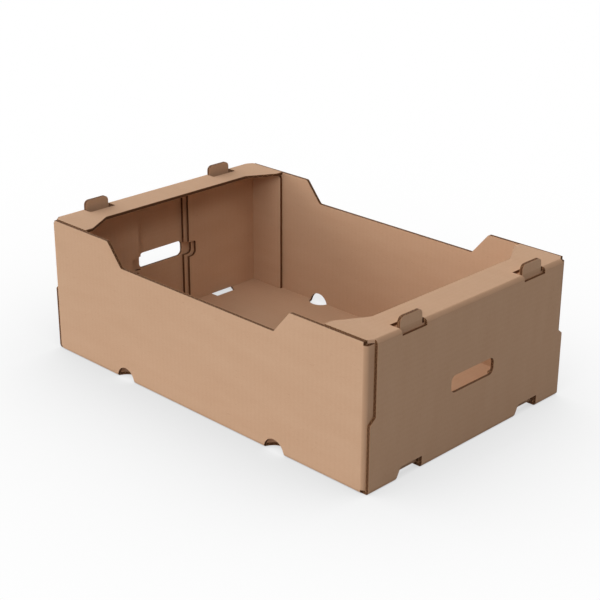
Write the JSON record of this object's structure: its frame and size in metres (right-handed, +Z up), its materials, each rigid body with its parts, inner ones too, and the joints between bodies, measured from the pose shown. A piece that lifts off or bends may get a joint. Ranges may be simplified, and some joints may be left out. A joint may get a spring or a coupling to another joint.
{
  "type": "cardboard tray box",
  "caption": "Open stacking produce tray folded from brown corrugated board, with lowered long sides, hand holes, ledges, stacking tabs and glued corner liners.",
  "frame": {"origin": "middle of the tray's footprint, on the surface that it stands on", "axes": "+X along the tray towards its right end, +Y across it towards the back long wall, +Z up"},
  "size_m": [0.6, 0.386, 0.2104],
  "materials": {
    "kraft_board": "matt, uncoated brown kraft board with darker cut edges"
  },
  "bodies": {
    "root": {"tray_body": "kraft_board", "corner_liner_front_left": "kraft_board", "corner_liner_front_right": "kraft_board", "corner_liner_back_left": "kraft_board", "corner_liner_back_right": "kraft_board"}
  },
  "joints": []
}
